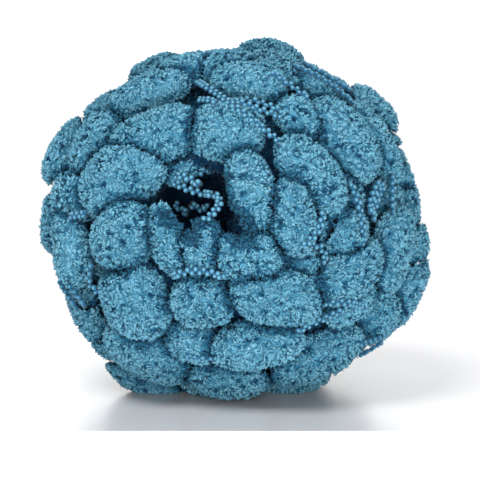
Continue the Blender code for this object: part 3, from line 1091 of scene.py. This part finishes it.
tuft = tuftShape()
pileNodes = pileTree()
pileValues = treeValues(pile, pileSizes, pileShares)
pieces = []
spacings = ([pile["spacing"]] * inFront + [pile["farSpacing"]] * (len(puffs) - inFront)
            + [pile["innerSpacing"]])
grounds = [*(linked(name, data) for name, data in zip(puffNames, bodies)), winds]
for number, item in enumerate(grounds):
    pieces.append(grown(
        item, pileNodes, **pileValues, tuft=tuft, spacing=spacings[number] * mm,
        tuftSize=1.0 if number < inFront else pile["farSize"],
        seed=pile["seed"] + pile["seedStep"] * number, material=plush))
bpy.data.objects.remove(tuft)
counts = [sum(len(face.vertices) - 2 for face in item.data.polygons) for item in pieces]
print("pile:", sum(counts), "triangles, at most", max(counts), "a piece")


twist = {
    "plyRadius": 0.42,
    "plySpread": 0.40,
    "pitch": 5.0,
    "step": 0.6,
    "sides": 6,
    "beadSize": 1.25,
    "beadSides": 8,
    "beadRings": 4,
    "beadStep": 1.85,
    "beadAside": 0.95,
    "beadSpread": 0.12,
    "seed": 5,
}


twistSizes = ("plyRadius", "plySpread", "pitch", "beadSize", "beadStep", "beadAside")


def twistTree():
    tree, given, result = newTree(
        "beaded_thread", (*twistSizes, "beadSpread"), ballMiddle="Vector", count="Int",
        sides="Int", seed="Int", material="Material")
    path = addNode(tree, "GeometryNodeMeshToCurve", {"Mesh": given["Geometry"]})
    curved = addNode(tree, "GeometryNodeCurveSplineType", {"Curve": path.outputs[0]},
                     spline_type="CATMULL_ROM")
    even = addNode(tree, "GeometryNodeResampleCurve", {
        "Curve": curved.outputs[0], "Count": given["count"]})
    length = addNode(tree, "GeometryNodeSplineParameter").outputs["Length"]
    angle = math1(tree, "DIVIDE", math1(tree, "MULTIPLY", length, 2 * math.pi), given["pitch"])
    normal = addNode(tree, "GeometryNodeInputNormal").outputs["Normal"]
    tangent = addNode(tree, "GeometryNodeInputTangent").outputs[0]
    beside = vector1(tree, "CROSS_PRODUCT", tangent, normal)
    ring = addNode(tree, "GeometryNodeCurvePrimitiveCircle", {
        "Resolution": given["sides"], "Radius": given["plyRadius"]})
    whole = addNode(tree, "GeometryNodeJoinGeometry")
    for phase in (0.0, math.pi):
        turn = math1(tree, "ADD", angle, phase)
        reach = vector1(tree, "ADD",
                        vector1(tree, "SCALE", normal, math1(tree, "COSINE", turn)),
                        vector1(tree, "SCALE", beside, math1(tree, "SINE", turn)))
        placed = addNode(tree, "GeometryNodeSetPosition", {
            "Geometry": even.outputs[0],
            "Offset": vector1(tree, "SCALE", reach, given["plySpread"])})
        ply = addNode(tree, "GeometryNodeCurveToMesh", {
            "Curve": placed.outputs[0], "Profile Curve": ring.outputs[0], "Fill Caps": True})
        tree.links.new(ply.outputs[0], whole.inputs[0])
    # Beads of the thread's own loops, on one side and the other by turns
    spots = addNode(tree, "GeometryNodeCurveToPoints", {
        "Curve": curved.outputs[0], "Length": given["beadStep"]}, mode="LENGTH")
    number = addNode(tree, "GeometryNodeInputIndex").outputs[0]
    odd = math1(tree, "MODULO", number, 2.0)
    side = math1(tree, "SUBTRACT", math1(tree, "MULTIPLY", odd, 2.0), 1.0)
    outward = vector1(tree, "SUBTRACT", here(tree), given["ballMiddle"])
    aside = unit1(tree, vector1(tree, "CROSS_PRODUCT", spots.outputs["Tangent"], outward))
    strewn = addNode(tree, "GeometryNodeSetPosition", {
        "Geometry": spots.outputs["Points"],
        "Offset": vector1(tree, "SCALE", aside,
                          math1(tree, "MULTIPLY", side, given["beadAside"]))})
    bead = addNode(tree, "GeometryNodeMeshUVSphere", {
        "Radius": given["beadSize"], "Segments": twist["beadSides"], "Rings": twist["beadRings"]})
    inBead = unit1(tree, here(tree))
    bead = stored(tree, bead.outputs["Mesh"], "inBead", inBead, kind="FLOAT_VECTOR")
    beads = addNode(tree, "GeometryNodeInstanceOnPoints", {
        "Points": strewn.outputs[0], "Instance": bead,
        "Scale": randomValue(tree, *leastMost(tree, 1.0, given["beadSpread"]), given["seed"])})
    tree.links.new(beads.outputs[0], whole.inputs[0])
    real = addNode(tree, "GeometryNodeRealizeInstances", {"Geometry": whole.outputs[0]})
    inBead = namedField(tree, "inBead", "FLOAT_VECTOR")
    # Painted light on each bead's crown, which faces out from the ball, and painted shade at its
    # rim and on the plies
    facing = vector1(tree, "DOT_PRODUCT", inBead, unit1(tree, outward))
    crowned = stored(tree, real.outputs[0], "crown", facing)
    smooth = addNode(tree, "GeometryNodeSetShadeSmooth", {"Geometry": crowned})
    dyed = addNode(tree, "GeometryNodeSetMaterial", {
        "Geometry": smooth.outputs[0], "Material": given["material"]})
    tree.links.new(dyed.outputs[0], result["Geometry"])
    return tree


twistNodes = twistTree()
twistValues = treeValues(twist, twistSizes, ("beadSpread", "sides"))
for number, row in enumerate(cadThreads + looseThreads):
    route = [(point + offset) * mm for point in threadRoute(*row, puffs)]
    data = plainMesh("route", route, [], [(place, place + 1) for place in range(len(route) - 1)])
    span = sum(np.linalg.norm(after - before) for before, after in zip(route, route[1:]))
    pieces.append(grown(
        linked(f"thread_{number + 1:02d}", data), twistNodes, **twistValues,
        seed=twist["seed"] + number, ballMiddle=offset * mm,
        count=round(span / (twist["step"] * mm)), material=thread))
print("threads:", len(cadThreads + looseThreads), "lengths")

for item in pieces:
    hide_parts("yarn_ball")
    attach(item, "root")

studio = {
    "sheetHalf": 4.0,
    # From which edge to which each sheet lies: how far back, and how high
    "floorEdges": ((-0.118, 0.0), (4.0, 0.0)),
    "backdropEdges": ((3.0, -1.0), (3.0, 5.0)),
    "floorColour": (0.45, 0.455, 0.47),
    "floorRoughness": 0.25,
    "backdropGlow": 1.3,
    "roomGlow": 0.4,
    "white": (1.0, 1.0, 1.0, 1.0),
    "lightAim": (0.0, 0.0, 0.08),
}

# place, size, power
softboxes = {
    "key_softbox": ((-0.4, -0.5, 1.25), 0.6, 20.0),
    "front_softbox": ((0.12, -1.5, -0.05), 1.3, 68.0),
}


def stageSheet(name, near, far, paint, values):
    half = studio["sheetHalf"]
    corners = [(-half, *near), (half, *near), (half, *far), (-half, *far)]
    item = linked(name, plainMesh(name, corners, [(0, 1, 2, 3)]))
    item.data.materials.append(newMaterial(paint, values)[0])


def softLight(name, place, size, power):
    lamp = bpy.data.lights.new(name, "AREA")
    lamp.shape = "DISK"
    lamp.size = size
    lamp.energy = power
    item = linked(name, lamp)
    item.location = place
    aim = Vector(studio["lightAim"]) - Vector(place)
    item.rotation_euler = aim.to_track_quat("-Z", "Y").to_euler()


def camera():
    right, up, ahead = viewAxes()
    item = linked("camera", bpy.data.cameras.new("camera"))
    item.data.sensor_width = ball["sensorWidth"]
    item.data.lens = ball["sensorWidth"] * ball["viewDistance"] / ball["viewWidth"]
    turned = Matrix([[right[n], up[n], -ahead[n]] for n in range(3)]).to_4x4()
    turned.translation = Vector((eyePoint() + offset) * mm)
    item.matrix_world = turned
    bpy.context.scene.camera = item


stageSheet("floor", *studio["floorEdges"], "pale_table", {
    "Base Color": colour(studio["floorColour"]), "Roughness": studio["floorRoughness"]})
stageSheet("backdrop", *studio["backdropEdges"], "lit_white_paper", {
    "Emission Color": studio["white"], "Emission Strength": studio["backdropGlow"]})
for name, (place, size, power) in softboxes.items():
    softLight(name, place, size, power)
world = bpy.data.worlds.new("white_surround")
world.use_nodes = True
setSockets(world.node_tree.nodes["Background"].inputs, {
    "Color": studio["white"], "Strength": studio["roomGlow"]})
bpy.context.scene.world = world
bpy.context.scene.view_settings.view_transform = "Standard"
camera()
print("studio: floor, lights and camera")
